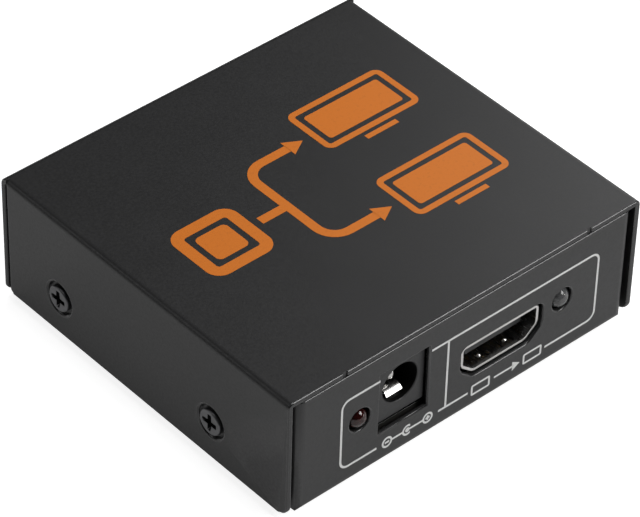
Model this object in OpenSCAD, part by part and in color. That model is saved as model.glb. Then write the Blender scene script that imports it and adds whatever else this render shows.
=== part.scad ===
// Two-way video splitter in a folded sheet-steel case.
// A tray with the front panel carries the circuit board; a cover with the top, the sides and
// the rear plate closes over it and is held by four side screws in dished seats.
// X runs along the front panel, which faces -Y. The case stands on its feet at Z = 0.

/* [Case] */
// Width over the cover's side plates
case_w = 66; // [64:0.5:80]
// Depth from the cover's front edge to the outside of its rear plate
case_d = 62; // [58:0.5:80]
// Height from the underside of the tray to the top of the cover
case_h = 21.5; // [20:0.1:30]
// Thickness of the steel sheet
sheet = 0.9; // [0.8:0.05:1.2]
// Inside radius of the tray's bends
bend_in = 0.8; // [0.4:0.05:1]
// Clearance between the tray and the cover
fit_gap = 0.1; // [0.1:0.05:0.4]
// Clearance from the front panel's ends to the cover's side plates
panel_gap = 0.5; // [0.2:0.05:0.6]
// How far the front panel stands behind the cover's front edge
panel_set = 0; // [0:0.05:0.5]

/* [Cover] */
// Outside radius of the folds along the cover's sides
fold_r = 0.95; // [0.4:0.05:1.2]
// Height of the cover's lower edge above the underside of the tray
skirt_lift = 0.6; // [0:0.05:1]
// Radius of the side plates' lower corners at the front
skirt_r = 1.8; // [1:0.1:3]
// Radius of the plates' lower corners at the rear
rear_r = 0.8; // [0.5:0.1:1.2]
// Width of the slits between the side plates and the rear plate, and inside radius of the rear bend
slit_w = 0.35; // [0.2:0.05:0.6]
// Distance of the two front-edge notches from the middle
notch_x = 22.9; // [15:0.1:26]
// Width of a front-edge notch
notch_w = 0.8; // [0.6:0.1:2]
// Depth of a front-edge notch
notch_d = 0.3; // [0.2:0.05:1]

/* [Tray] */
// Length of the returns that the front panel turns back inside the side plates
return_l = 7; // [4:0.5:9]
// Width of the upright tabs that take the side screws
tab_w = 9; // [7:0.5:10]
// Height of the tabs above the underside of the tray
tab_h = 11.5; // [10:0.5:15]
// Width of the relief cuts beside the tabs and the front panel's returns
relief_w = 0.8; // [0.5:0.1:1.5]

/* [Side screws] */
// Distance of the front side screws from the cover's front edge
screw_front = 16; // [14.5:0.1:18]
// Distance of the rear side screws from the outside of the rear plate
screw_rear = 12.8; // [8:0.1:16]
// Height of the side screws above the underside of the tray
screw_z = 7; // [6:0.1:8]
// Thread diameter of the side screws
screw_d = 2.5; // [2:0.1:3]
// Head diameter of the side screws
screw_head_d = 4.2; // [3.8:0.1:4.6]
// Diameter of the dished seat at the surface of the side plate
seat_d = 5.6; // [5:0.1:6]
// Depth of the dished seat
seat_h = 0.6; // [0.4:0.05:0.7]
// How far a side screw's head stands out of the side plate
screw_out = 0.2; // [0:0.05:0.4]
// Length of the side screws below the plate's surface
screw_l = 3.5; // [3:0.1:3.7]
// Length across the arms of the cross recess
cross_l = 3; // [1.8:0.1:3.2]
// Width of the arms of the cross recess
cross_w = 0.8; // [0.4:0.05:0.9]
// Depth of the cross recess
cross_h = 0.8; // [0.5:0.1:1]

/* [Feet] */
// Diameter of the rubber feet
foot_d = 7; // [5:0.5:8]
// Height of the rubber feet
foot_h = 1.3; // [1:0.1:3]
// Distance of the feet from the edges of the case
foot_inset = 6.5; // [6.5:0.1:7.5]

/* [Board] */
// Height of the board's upper face above the underside of the tray
board_z = 6.2; // [5.6:0.1:7]
// Thickness of the board
board_t = 1.6; // [1:0.2:2]
// Clearance from the board's front and rear edges to the panels
board_gap = 0.5; // [0.3:0.1:1]
// Clearance from the board's side edges to the tray's upright sheet, past the side screws' tips
board_side = 2.6; // [2.3:0.1:3]
// Corner radius of the board
board_r = 1; // [0.5:0.1:3]
// Distance of the fixing holes from the board's side edges
hole_side = 3.9; // [3.6:0.1:5]
// Distance of the front fixing holes from the board's front edge
hole_front = 11; // [10.5:0.1:13]
// Distance of the rear fixing holes from the board's rear edge
hole_rear = 12; // [11:0.1:14]
// Diameter of the standoffs
standoff_d = 5; // [4.5:0.1:6]
// Diameter of the standoff spigots that are pressed into the tray
spigot_d = 4.2; // [3.8:0.1:4.4]
// Thread diameter of the board screws
board_screw_d = 2.5; // [2:0.1:3]
// Head diameter of the board screws
board_head_d = 4.6; // [4:0.1:5.5]
// Head height of the board screws
board_head_h = 1.7; // [1:0.1:2]
// Length of the board screws under the head
board_screw_l = 4.5; // [3.5:0.5:5]

/* [Video sockets] */
// Width of the socket opening
open_w = 14; // [13.8:0.05:14.2]
// Height of the socket opening
open_h = 4.6; // [4.4:0.05:4.7]
// Width of the opening's narrow lower edge
open_foot_w = 9.8; // [9.2:0.1:10.4]
// Depth of the opening's shoulders below its upper edge
shoulder_h = 2.85; // [2.6:0.05:3.2]
// Corner radius of the opening
open_r = 0.4; // [0.3:0.05:0.6]
// Thickness of the plated shell
shell_t = 0.45; // [0.3:0.05:0.5]
// Length of the shell
shell_l = 11.4; // [10:0.1:12]
// Height of the shell above the board
shell_lift = 0.55; // [0.5:0.05:1.2]
// How far the shell's mouth stands behind the panel's face
shell_set = 0.5; // [0.2:0.1:0.9]
// Clearance of the panel cut-out around the shell
shell_gap = 0.45; // [0.3:0.05:0.8]
// Place of the input socket along the front panel
input_x = 6.8; // [4:0.05:7.5]
// Distance of the output sockets from the middle of the rear plate
output_x = 12.5; // [10:0.1:13]
// Width of the insulator's tongue
tongue_w = 10.8; // [10:0.1:11.2]
// Thickness of the tongue
tongue_t = 1.6; // [1.4:0.05:1.9]
// Distance of the tongue's tip behind the mouth
tongue_set = 1.4; // [1:0.1:2]
// Length of the insulator's rear block
block_l = 4.6; // [3:0.1:6]
// Spacing of the contacts in one row
contact_pitch = 1; // [0.95:0.01:1.05]
// Width of a contact
contact_w = 0.26; // [0.2:0.01:0.35]
// Thickness of a contact
contact_t = 0.16; // [0.12:0.01:0.2]
// Distance of the contacts' ends behind the tongue's tip
contact_set = 0.7; // [0.4:0.1:1]
// Clearance from the shell's rear edge to the contacts' drop
contact_gap = 0.2; // [0.1:0.05:0.4]
// Length of a contact's foot on the board
contact_foot = 0.9; // [0.6:0.1:1.2]
// Distance of the sprung dimples from the socket's middle
dimple_x = 2.5; // [2:0.1:3]
// Distance of the sprung dimples behind the mouth
dimple_y = 1.7; // [1.4:0.1:3]
// Radius of the sprung dimples
dimple_r = 0.55; // [0.4:0.05:0.7]
// Distance of the slits from the middle of each spring
spring_slit_x = 1.1; // [0.9:0.05:1.2]
// Width of the slits beside each spring
spring_slit_w = 0.3; // [0.2:0.05:0.4]
// Length of the slits beside each spring
spring_slit_l = 5; // [4:0.1:6]
// Width of the shell's solder legs
leg_w = 2.2; // [1.8:0.1:2.6]
// Length of the solder legs below the board
leg_out = 0.8; // [0.4:0.1:1.2]

/* [Power jack] */
// Width of the jack's front
jack_w = 8.8; // [8.6:0.1:9.2]
// Height of the jack above the board
jack_h = 10.7; // [10:0.1:11.5]
// Length of the jack
jack_l = 14; // [13:0.1:15]
// Thickness of the jack's front plate
jack_front_t = 3.2; // [2.5:0.1:4]
// Height of the front plate's lower edge above the board
jack_front_z = 0.9; // [0.5:0.1:1.2]
// Width of the jack's barrel behind its front plate
barrel_w = 7.8; // [7.6:0.1:8.4]
// Height of the jack's axis above the board
jack_axis = 6.3; // [6:0.1:6.6]
// Diameter of the jack's bore
bore_d = 6.4; // [6:0.1:6.6]
// Depth of the jack's bore
bore_l = 11.4; // [10:0.1:12]
// Diameter of the jack's centre pin
pin_d = 2; // [1.9:0.05:2.5]
// Distance of the pin's tip behind the jack's front
pin_set = 1.7; // [1:0.1:3]
// Diameter of the pin's shank in the back wall
shank_d = 1.5; // [1.2:0.1:1.7]
// Distance of the spring's crest below the jack's axis
crest_drop = 2.4; // [2.2:0.05:2.6]
// Distance of the spring's crest behind the jack's front
crest_y = 4.6; // [4.2:0.1:5]
// Half the length of the spring's bow
spring_half = 3.6; // [3:0.1:4]
// Rise of the spring's bow
spring_rise = 0.5; // [0.4:0.1:1.5]
// Distance of the side terminal behind the jack's front
side_terminal_y = 7; // [6:0.1:8]
// Length of the terminals below the board
terminal_out = 1; // [0.6:0.1:1.4]
// Thickness of the jack's spring and terminals
terminal_t = 0.4; // [0.3:0.05:0.5]
// Width of the jack's spring and terminals
terminal_w = 3; // [2.5:0.1:3.4]
// Place of the jack along the front panel
jack_x = -11.8; // [-13:0.05:-11]
// How far the jack stands behind the panel's face
jack_set = 0.9; // [0.5:0.1:1.2]
// Clearance of the panel cut-out around the jack
jack_gap = 0.15; // [0.1:0.05:0.3]

/* [Indicator lamps] */
// Diameter of the lamp bodies
lamp_d = 3.2; // [2.8:0.1:3.3]
// Rise of a lamp's domed end
lamp_dome = 0.6; // [0.4:0.1:1.4]
// Diameter of the collar at the back of a lamp
lamp_collar_d = 3.8; // [3.6:0.1:4]
// Length of the collar
lamp_collar_l = 1; // [0.8:0.1:1.4]
// Length of a lamp from the collar to the tip of the dome
lamp_l = 5.3; // [5:0.1:6]
// Diameter of the lamp holes in the panels
lamp_hole_d = 3.8; // [3.5:0.1:4.2]
// Height of the lamps above the board
lamp_lift = 4.8; // [4:0.05:5]
// Place of the power lamp along the front panel
power_lamp_x = -19.9; // [-21:0.05:-19]
// Place of the input lamp along the front panel
input_lamp_x = 18.4; // [17.5:0.05:20]
// Distance of the output lamps from the middle of the rear plate
output_lamp_x = 24.3; // [23.5:0.1:25]
// Thickness of the lamp leads
lead_t = 0.5; // [0.4:0.05:0.6]
// Spacing of the lamp leads
lead_pitch = 2.54; // [2:0.01:2.6]
// Straight run of the leads behind a lamp
lead_run = 1.2; // [0.8:0.1:2]
// Inside radius of the bend in the leads
lead_bend = 0.5; // [0.4:0.1:0.8]
// Length of the leads below the board
lead_out = 1; // [0.6:0.1:1.4]

/* [Chips] */
// Height of the chips' bodies above the board
chip_stand = 0.1; // [0.05:0.05:0.2]
// Side of the splitter chip's body
chip_w = 10; // [7:0.5:14]
// Height of the splitter chip's body
chip_h = 1.4; // [1:0.1:1.6]
// Leads on each side of the splitter chip
chip_leads = 16; // [8:1:20]
// Spacing of the splitter chip's leads
chip_pitch = 0.5; // [0.4:0.05:0.65]
// Diameter of the supply capacitor
can_d = 6.3; // [5:0.1:8]
// Height of the supply capacitor
can_h = 5.4; // [4:0.1:8]
// Length of the crystal's can
crystal_l = 11; // [8:0.5:12]
// Width of the crystal's can
crystal_w = 4.6; // [3:0.1:5]
// Height of the crystal's can
crystal_h = 3.6; // [2:0.1:5]
// Spacing of the memory chip's leads
memory_pitch = 1.27; // [1.2:0.01:1.3]
// Reach of the memory chip's leads
memory_reach = 1.05; // [0.8:0.05:1.3]
// Spacing of the regulators' leads
regulator_pitch = 2.3; // [2.2:0.05:2.4]
// Reach of the regulators' leads
regulator_reach = 1.7; // [1.2:0.1:2]
// Length of a chip capacitor or resistor
passive_l = 1.6; // [1:0.1:2]
// Width of a chip capacitor or resistor
passive_w = 0.8; // [0.5:0.1:1.2]
// Height of a chip capacitor or resistor
passive_h = 0.6; // [0.3:0.05:0.8]
// Spacing of the chip capacitors and resistors in a row
passive_pitch = 1.8; // [1.5:0.1:2.5]
// Distance from the splitter chip's body to the first row beside it
row_gap = 2.6; // [2.4:0.1:3]
// Distance from one row to the next
row_step = 2.4; // [2:0.1:3]

/* [Hidden] */
$fn = 64;

// Overshoot of cutting shapes past the faces they cut
over = 0.5;
// Clearance of threads, pegs and leads in their holes
peg_gap = 0.1;

bend_out = bend_in + sheet;
fold_w = fold_r + sheet;
z_base = foot_h;
z_floor = z_base + sheet;
z_top = z_base + case_h;
z_skirt = z_base + skirt_lift;
z_board = z_base + board_z;
z_panel = z_top - sheet - fit_gap;
y_edge = -case_d / 2;
y_panel = y_edge + panel_set;
y_rear = case_d / 2;
rear_out = slit_w + sheet;
y_plate_end = y_rear - rear_out;
tray_w = case_w - 2 * (sheet + fit_gap);
panel_w = case_w - 2 * (sheet + panel_gap);
y_floor_end = y_rear - sheet - fit_gap;
screw_places = [y_edge + screw_front, y_rear - screw_rear];

board_w = tray_w - 2 * (sheet + board_side);
board_y0 = y_panel + sheet + board_gap;
board_y1 = y_rear - sheet - board_gap;
hole_x = board_w / 2 - hole_side;
hole_places = [
    for (x = [-hole_x, hole_x], y = [board_y0 + hole_front, board_y1 - hole_rear]) [x, y]
];

contacts_up = 10;
open_z = shell_lift + shell_t;
slope_run = (open_w - open_foot_w) / 2;
slope_drop = open_h - shoulder_h;
slope_l = norm([slope_run, slope_drop]);
tongue_z = open_z + open_h / 2 + 0.1;
block_y = shell_l - block_l;
leg_places = [2.2, 8.2];
leg_depth = board_t + leg_out;
leg_top = open_z + slope_drop + 2 * shell_t;
socket_places = [
    [input_x, y_panel + shell_set, 0],
    [-output_x, y_rear - shell_set, 180],
    [output_x, y_rear - shell_set, 180]
];

y_jack = y_panel + jack_set;
crest_z = jack_axis - crest_drop;
spring_r = (spring_half * spring_half + spring_rise * spring_rise) / (2 * spring_rise);
spring_foot_z = crest_z - spring_rise - terminal_t;
spring_leg_y = crest_y + spring_half + 1;
terminal_depth = board_t + terminal_out;

lamp_z = z_board + lamp_lift;
lamp_places = [
    [power_lamp_x, y_edge, 0], [input_lamp_x, y_edge, 0],
    [-output_lamp_x, y_rear, 180], [output_lamp_x, y_rear, 180]
];
lamp_cap_r = (lamp_d * lamp_d / 4 + lamp_dome * lamp_dome) / (2 * lamp_dome);
lead_back = lamp_l + lead_run + lead_bend;
lead_depth = board_t + lead_out;

chip_y = -2;
crystal_place = [-13.5, 2];
memory_place = [12.5, -3];
resistor_place = [17, 6];
regulator_x = -board_w / 2 + 7.5;
regulator_places = [[regulator_x, -2.5], [regulator_x, 6]];
can_place = [-4, -13.6];
diode_place = [-board_w / 2 + 8, -12];

// Shapes drawn flat and pulled along one axis
module along_x(x0, x1) {
    translate([x0, 0, 0])
        rotate([90, 0, 90])
            linear_extrude(x1 - x0)
                children();
}

module along_y(y0, y1) {
    translate([0, y1, 0])
        rotate([90, 0, 0])
            linear_extrude(y1 - y0)
                children();
}

module along_z(z0, z1) {
    translate([0, 0, z0])
        linear_extrude(z1 - z0)
            children();
}

module both_sides() {
    children();
    mirror([1, 0, 0])
        children();
}

// Quarter of a ring: the section of one bend
module bend_2d(r_in, t) {
    intersection() {
        difference() {
            circle(r_in + t);
            circle(r_in);
        }
        square(r_in + t);
    }
}

// Rectangle whose two lower corners are rounded
module cup_2d(w, y0, y1, r) {
    translate([-w / 2 + r, y0])
        square([w - 2 * r, y1 - y0]);
    translate([-w / 2, y0 + r])
        square([w, y1 - y0 - r]);
    for (x = [-w / 2 + r, w / 2 - r])
        translate([x, y0 + r])
            circle(r);
}

// What is left outside a rounded corner at the origin
module corner_cut_2d(r) {
    difference() {
        translate([-over, -over])
            square(r + over);
        translate([r, r])
            circle(r);
    }
}

// Mouth of a video socket, grown outwards by g: rounded above, sloped in to a narrow lower edge
module socket_2d(g) {
    r = open_r + g;
    half = open_w / 2 + g;
    top = open_z + open_h + g;
    bottom = open_z - g;
    shoulder_turn = (slope_l - slope_drop) / slope_run;
    foot_turn = (slope_l - slope_run) / slope_drop;
    shoulder = open_z + slope_drop - g * shoulder_turn;
    corner_x = open_foot_w / 2 + g * foot_turn;
    along = [slope_run, slope_drop] / slope_l;
    side = [
        [half, top - r],
        [half, shoulder + r * shoulder_turn],
        [half, shoulder] - along * r * shoulder_turn,
        [corner_x, bottom] + along * r * foot_turn,
        [corner_x - r * foot_turn, bottom]
    ];
    polygon(concat(side, [for (i = [len(side) - 1 : -1 : 0]) [-side[i][0], side[i][1]]]));
    translate([-half + r, top - r])
        square([2 * (half - r), r]);
    for (x = [-half + r, half - r])
        translate([x, top - r])
            circle(r);
}

// Puts a socket, modelled with its mouth at the origin and its body towards +Y, in its place
module at_socket(place) {
    translate([place[0], place[1], z_board])
        rotate([0, 0, place[2]])
            children();
}

module at_jack() {
    translate([jack_x, y_jack, z_board])
        children();
}

// Puts a lamp, modelled with its tip at the origin and its body towards +Y, in its place
module at_lamp(place) {
    translate([place[0], place[1], lamp_z])
        rotate([0, 0, place[2]])
            children();
}

// Dished seat and thread hole of one side screw, from the outside of the right-hand plate
module screw_void(y) {
    bore = screw_d + peg_gap;
    translate([case_w / 2, y, z_base + screw_z])
        rotate([0, -90, 0]) {
            translate([0, 0, -over])
                cylinder(h = over, d = seat_d);
            cylinder(h = seat_h, d1 = seat_d, d2 = seat_d - seat_h);
            cylinder(h = screw_l + sheet, d = bore);
        }
}

module socket_cutout(place) {
    at_socket(place)
        along_y(-2 * sheet - shell_set, 3 * sheet)
            socket_2d(shell_t + shell_gap);
}

module lamp_hole(place) {
    at_lamp(place)
        rotate([90, 0, 0])
            cylinder(h = 6 * sheet, d = lamp_hole_d, center = true);
}

// Tray
// Rounded front end of the tray, shrunk by g on every face; the shell is its difference
module tray_end(g) {
    y_stop = y_panel + return_l + (g > 0 ? over : 0);
    z_stop = z_panel + (g > 0 ? over : 0);
    r = bend_out - g;
    intersection() {
        along_z(z_base + g, z_stop)
            cup_2d(panel_w - 2 * g, y_panel + g, y_stop, r);
        along_y(y_panel + g, y_stop)
            cup_2d(panel_w - 2 * g, z_base + g, z_stop, r);
        along_x(-panel_w / 2, panel_w / 2)
            difference() {
                translate([y_panel + g, z_base + g])
                    square([y_stop - y_panel - g, z_stop - z_base - g]);
                translate([y_panel + g, z_base + g])
                    corner_cut_2d(r);
            }
    }
}

// Section of one tab with the bend that joins it to the floor
module tab_2d() {
    translate([tray_w / 2 - bend_out, z_base + bend_out])
        mirror([0, 1])
            bend_2d(bend_in, sheet);
    translate([tray_w / 2 - sheet, z_base + bend_out])
        square([sheet, tab_h - bend_out]);
    translate([tray_w / 2 - bend_out - relief_w, z_base])
        square([relief_w, sheet]);
}

module tray_tabs() {
    both_sides()
        for (y = screw_places)
            along_y(y - tab_w / 2, y + tab_w / 2)
                tab_2d();
}

module tray_floor() {
    y0 = y_panel + return_l;
    difference() {
        translate([-tray_w / 2, y0, z_base])
            cube([tray_w, y_floor_end - y0, sheet]);
        both_sides() {
            translate([panel_w / 2 - bend_out, y0 - over, z_base - over])
                cube([tray_w, relief_w + over, sheet + 2 * over]);
            for (y = screw_places)
                translate([tray_w / 2 - bend_out - relief_w, y - tab_w / 2 - relief_w, z_base - over])
                    cube([bend_out + relief_w + over, tab_w + 2 * relief_w, sheet + 2 * over]);
        }
    }
}

module jack_cutout() {
    at_jack()
        translate([-jack_w / 2 - jack_gap, -2 * sheet - jack_set, -jack_gap])
            cube([jack_w + 2 * jack_gap, 5 * sheet, jack_h + 2 * jack_gap]);
}

module base_tray() {
    color("#3f4042")
        difference() {
            union() {
                difference() {
                    tray_end(0);
                    tray_end(sheet);
                }
                tray_floor();
                tray_tabs();
            }
            both_sides()
                for (y = screw_places)
                    screw_void(y);
            for (p = hole_places)
                translate([p[0], p[1], z_base - over])
                    cylinder(h = sheet + 2 * over, d = spigot_d);
            jack_cutout();
            socket_cutout(socket_places[0]);
            lamp_hole(lamp_places[0]);
            lamp_hole(lamp_places[1]);
        }
}

// Feet: moulded rubber discs with a bevelled edge
module rubber_feet() {
    bevel = foot_h / 4;
    color("#1a1a1a")
        for (x = [-1, 1], y = [-1, 1])
            translate([x * (case_w / 2 - foot_inset), y * (case_d / 2 - foot_inset), 0])
                rotate_extrude()
                    polygon([
                        [0, 0], [foot_d / 2 - bevel, 0], [foot_d / 2, bevel],
                        [foot_d / 2, foot_h], [0, foot_h]
                    ]);
}

// Standoffs pressed into the floor, flush with its underside
module board_standoffs() {
    color("#b9bcc0")
        for (p = hole_places)
            translate([p[0], p[1], z_base])
                difference() {
                    union() {
                        cylinder(h = sheet, d = spigot_d);
                        translate([0, 0, sheet])
                            cylinder(h = board_z - board_t - sheet, d = standoff_d);
                    }
                    translate([0, 0, -over])
                        cylinder(h = board_z, d = board_screw_d + peg_gap);
                }
}

module board_screws() {
    shank_end = min(board_screw_l, board_z);
    color("#c4c6c8")
        for (p = hole_places)
            translate([p[0], p[1], z_board])
                difference() {
                    union() {
                        translate([0, 0, -shank_end])
                            cylinder(h = shank_end, d = board_screw_d);
                        rotate_extrude()
                            intersection() {
                                square([board_head_d / 2, board_head_h]);
                                translate([0, board_head_h - board_head_d])
                                    circle(board_head_d);
                            }
                    }
                    translate([0, 0, board_head_h])
                        cross_recess(board_head_d / 2, cross_w, board_head_h / 2);
                }
}

// Cross recess sunk from the origin downwards: two crossed slots that taper to a point
module cross_recess(l, w, h) {
    intersection() {
        union() {
            translate([-l / 2, -w / 2, -h])
                cube([l, w, h + over]);
            translate([-w / 2, -l / 2, -h])
                cube([w, l, h + over]);
        }
        translate([0, 0, -h])
            cylinder(h = h + over, d1 = w, d2 = w + (l - w) * (h + over) / h);
    }
}

// Board with its fixing holes, the slots for the sockets' legs and the jack's terminals
module circuit_board() {
    color("#1d5a38")
        translate([0, 0, z_board - board_t])
            difference() {
                along_z(0, board_t)
                    board_2d();
                for (p = hole_places)
                    translate([p[0], p[1], -over])
                        cylinder(h = board_t + 2 * over, d = board_screw_d + 2 * peg_gap);
                translate([0, 0, board_t - z_board]) {
                    for (place = socket_places)
                        at_socket(place)
                            socket_legs(peg_gap);
                    at_jack()
                        jack_feet(peg_gap);
                    for (place = lamp_places)
                        at_lamp(place)
                            lead_holes();
                }
            }
}

module board_2d() {
    d = board_y1 - board_y0;
    translate([-board_w / 2 + board_r, board_y0])
        square([board_w - 2 * board_r, d]);
    translate([-board_w / 2, board_y0 + board_r])
        square([board_w, d - 2 * board_r]);
    for (x = [-1, 1], y = [board_y0 + board_r, board_y1 - board_r])
        translate([x * (board_w / 2 - board_r), y])
            circle(board_r);
}

// Legs of a socket shell, or with a gap the slots that they stand in
module socket_legs(gap) {
    both_sides()
        for (y = leg_places)
            translate([open_w / 2 - gap, y - leg_w / 2 - gap, -leg_depth - gap])
                cube([shell_t + 2 * gap, leg_w + 2 * gap, leg_depth + gap + leg_top]);
}

module jack_feet(gap) {
    translate([-terminal_w / 2 - gap, jack_l - gap, -terminal_depth - gap])
        cube([terminal_w + 2 * gap, terminal_t + 2 * gap, terminal_depth + 2 * gap]);
    translate([-terminal_w / 2 - gap, spring_leg_y - gap, -terminal_depth - gap])
        cube([terminal_w + 2 * gap, terminal_t + 2 * gap, terminal_depth + 2 * gap]);
    translate([barrel_w / 2 - gap, side_terminal_y - gap, -terminal_depth - gap])
        cube([terminal_t + 2 * gap, terminal_w + 2 * gap, terminal_depth + 2 * gap]);
}

module lead_holes() {
    for (x = [-1, 1])
        translate([x * lead_pitch / 2, lead_back + lead_t / 2, -lamp_lift - 2 * board_t])
            cylinder(h = 3 * board_t, d = 2 * lead_t);
}

// Power jack: moulded housing with a square front and a round-topped barrel
module power_jack_housing() {
    mouth = 0.15;
    color("#222222")
        at_jack()
            difference() {
                union() {
                    translate([-jack_w / 2, 0, jack_front_z])
                        cube([jack_w, jack_front_t, jack_h - jack_front_z]);
                    along_y(jack_front_t / 2, jack_l) {
                        translate([-barrel_w / 2, 0])
                            square([barrel_w, jack_axis]);
                        translate([0, jack_axis])
                            circle(barrel_w / 2);
                    }
                }
                translate([0, 0, jack_axis])
                    rotate([-90, 0, 0]) {
                        translate([0, 0, -over])
                            cylinder(h = bore_l + over, d = bore_d);
                        cylinder(h = jack_l + over, d = shank_d);
                        translate([0, 0, -over])
                            cylinder(h = mouth + over, d1 = bore_d + 2 * (mouth + over), d2 = bore_d);
                    }
                translate([-terminal_w / 2 - peg_gap, crest_y - spring_half - peg_gap, spring_foot_z])
                    cube([
                        terminal_w + 2 * peg_gap,
                        spring_leg_y + terminal_t + 2 * peg_gap - crest_y + spring_half,
                        jack_axis - spring_foot_z - pin_d / 2
                    ]);
                translate([-terminal_w / 2 - peg_gap, spring_leg_y - peg_gap, -over])
                    cube([terminal_w + 2 * peg_gap, terminal_t + 2 * peg_gap, spring_foot_z + 2 * over]);
            }
}

// Centre pin: round-ended, with a shoulder against the back wall and a shank riveted through it
module power_jack_pin() {
    tip = jack_l - pin_set - pin_d / 2;
    shoulder = jack_l - bore_l;
    color("#d8d9da")
        at_jack()
            translate([0, jack_l, jack_axis])
                rotate([90, 0, 0])
                    rotate_extrude() {
                        square([shank_d / 2, shoulder]);
                        translate([0, shoulder])
                            square([pin_d / 2, tip - shoulder]);
                        intersection() {
                            translate([0, tip])
                                circle(pin_d / 2);
                            translate([0, tip])
                                square(pin_d / 2);
                        }
                    }
}

// Bowed leaf that presses on the plug's sleeve, with its leg through the board
module power_jack_spring() {
    color("#d8d9da")
        at_jack()
            along_x(-terminal_w / 2, terminal_w / 2) {
                intersection() {
                    translate([crest_y, crest_z - spring_r])
                        difference() {
                            circle(spring_r);
                            circle(spring_r - terminal_t);
                        }
                    translate([crest_y - spring_half, spring_foot_z])
                        square([2 * spring_half, spring_rise + terminal_t]);
                }
                translate([crest_y + spring_half - terminal_t, spring_foot_z])
                    square([spring_leg_y - crest_y - spring_half + 2 * terminal_t, terminal_t]);
                translate([spring_leg_y, -terminal_depth])
                    square([terminal_t, spring_foot_z + terminal_depth]);
            }
}

module power_jack_rear_terminal() {
    color("#d8d9da")
        at_jack()
            translate([-terminal_w / 2, jack_l, -terminal_depth])
                cube([terminal_w, terminal_t, jack_axis + pin_d + terminal_depth]);
}

module power_jack_side_terminal() {
    color("#d8d9da")
        at_jack()
            translate([barrel_w / 2, side_terminal_y, -terminal_depth])
                cube([terminal_t, terminal_w, jack_axis - pin_d / 2 + terminal_depth]);
}

// Socket shell: drawn tube with two sprung dimples in its lower wall and four solder legs
module socket_shell(place) {
    slit_deep = shell_t + over + 0.05;
    color("#c9cacc")
        at_socket(place)
            difference() {
                union() {
                    difference() {
                        along_y(0, shell_l)
                            socket_2d(shell_t);
                        along_y(-over, shell_l + over)
                            socket_2d(0);
                    }
                    socket_legs(0);
                    for (x = [-dimple_x, dimple_x])
                        translate([x, dimple_y, open_z - shell_t / 2])
                            intersection() {
                                sphere(dimple_r);
                                translate([-dimple_r, -dimple_r, 0])
                                    cube(2 * dimple_r);
                            }
                }
                for (x = [-dimple_x, dimple_x], side = [-1, 1])
                    translate([
                        x + side * spring_slit_x - spring_slit_w / 2, dimple_y - 2 * dimple_r + peg_gap,
                        open_z - shell_t - over
                    ])
                        cube([spring_slit_w, spring_slit_l, slit_deep]);
            }
}

// Insulator: rear block that fills the shell, with the flat tongue in front of it
module socket_insulator(place) {
    tip = 0.35;
    half = tongue_t / 2;
    color("#191919")
        at_socket(place)
            difference() {
                union() {
                    along_y(block_y, shell_l)
                        socket_2d(-peg_gap / 2);
                    along_x(-tongue_w / 2, tongue_w / 2)
                        polygon([
                            [tongue_set, tongue_z - half + tip], [tongue_set + tip, tongue_z - half],
                            [block_y + over, tongue_z - half], [block_y + over, tongue_z + half],
                            [tongue_set + tip, tongue_z + half], [tongue_set, tongue_z + half - tip]
                        ]);
                }
                socket_contact_rows();
            }
}

// Contacts: a strip on the tongue, a drop behind the shell and a foot on the board
module contact(x, z) {
    y0 = tongue_set + contact_set;
    y_drop = shell_l + contact_gap;
    along_x(x - contact_w / 2, x + contact_w / 2) {
        translate([y0, z])
            square([y_drop + contact_t - y0, contact_t]);
        translate([y_drop, 0])
            square([contact_t, z + contact_t]);
        translate([y_drop, 0])
            square([contact_foot, contact_t]);
    }
}

module socket_contact_rows() {
    for (i = [0 : contacts_up - 1])
        contact((i - (contacts_up - 1) / 2) * contact_pitch, tongue_z + tongue_t / 2);
    for (i = [0 : contacts_up - 2])
        contact((i - (contacts_up - 2) / 2) * contact_pitch, tongue_z - tongue_t / 2 - contact_t);
}

module socket_contacts(place) {
    color("#d7b45a")
        at_socket(place)
            socket_contact_rows();
}

module input_socket_shell() { socket_shell(socket_places[0]); }
module input_socket_insulator() { socket_insulator(socket_places[0]); }
module input_socket_contacts() { socket_contacts(socket_places[0]); }
module output_socket_1_shell() { socket_shell(socket_places[1]); }
module output_socket_1_insulator() { socket_insulator(socket_places[1]); }
module output_socket_1_contacts() { socket_contacts(socket_places[1]); }
module output_socket_2_shell() { socket_shell(socket_places[2]); }
module output_socket_2_insulator() { socket_insulator(socket_places[2]); }
module output_socket_2_contacts() { socket_contacts(socket_places[2]); }

// Indicator lamps: cast body with a low domed end and a collar
module lamp(place) {
    straight = lamp_l - lamp_cap_r;
    at_lamp(place)
        translate([0, lamp_l, 0])
            rotate([90, 0, 0])
                rotate_extrude() {
                    square([lamp_collar_d / 2, lamp_collar_l]);
                    square([lamp_d / 2, straight]);
                    translate([0, straight])
                        intersection() {
                            circle(lamp_cap_r);
                            square([lamp_d / 2, lamp_cap_r]);
                        }
                }
}

module power_lamp() { color("#5a1a1c") lamp(lamp_places[0]); }
module input_lamp() { color("#77797b") lamp(lamp_places[1]); }
module output_lamp_1() { color("#77797b") lamp(lamp_places[2]); }
module output_lamp_2() { color("#77797b") lamp(lamp_places[3]); }

// Leads: straight out of the collar, one bend, then down through the board
module lamp_leads() {
    color("#c9cacc")
        for (place = lamp_places, x = [-1, 1])
            at_lamp(place)
                along_x(x * lead_pitch / 2 - lead_t / 2, x * lead_pitch / 2 + lead_t / 2) {
                    translate([lamp_l, -lead_t / 2])
                        square([lead_run, lead_t]);
                    translate([lamp_l + lead_run, -lead_t / 2 - lead_bend])
                        bend_2d(lead_bend, lead_t);
                    translate([lead_back, -lamp_lift - lead_depth])
                        square([lead_t, lamp_lift + lead_depth - lead_t / 2 - lead_bend]);
                }
}

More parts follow.
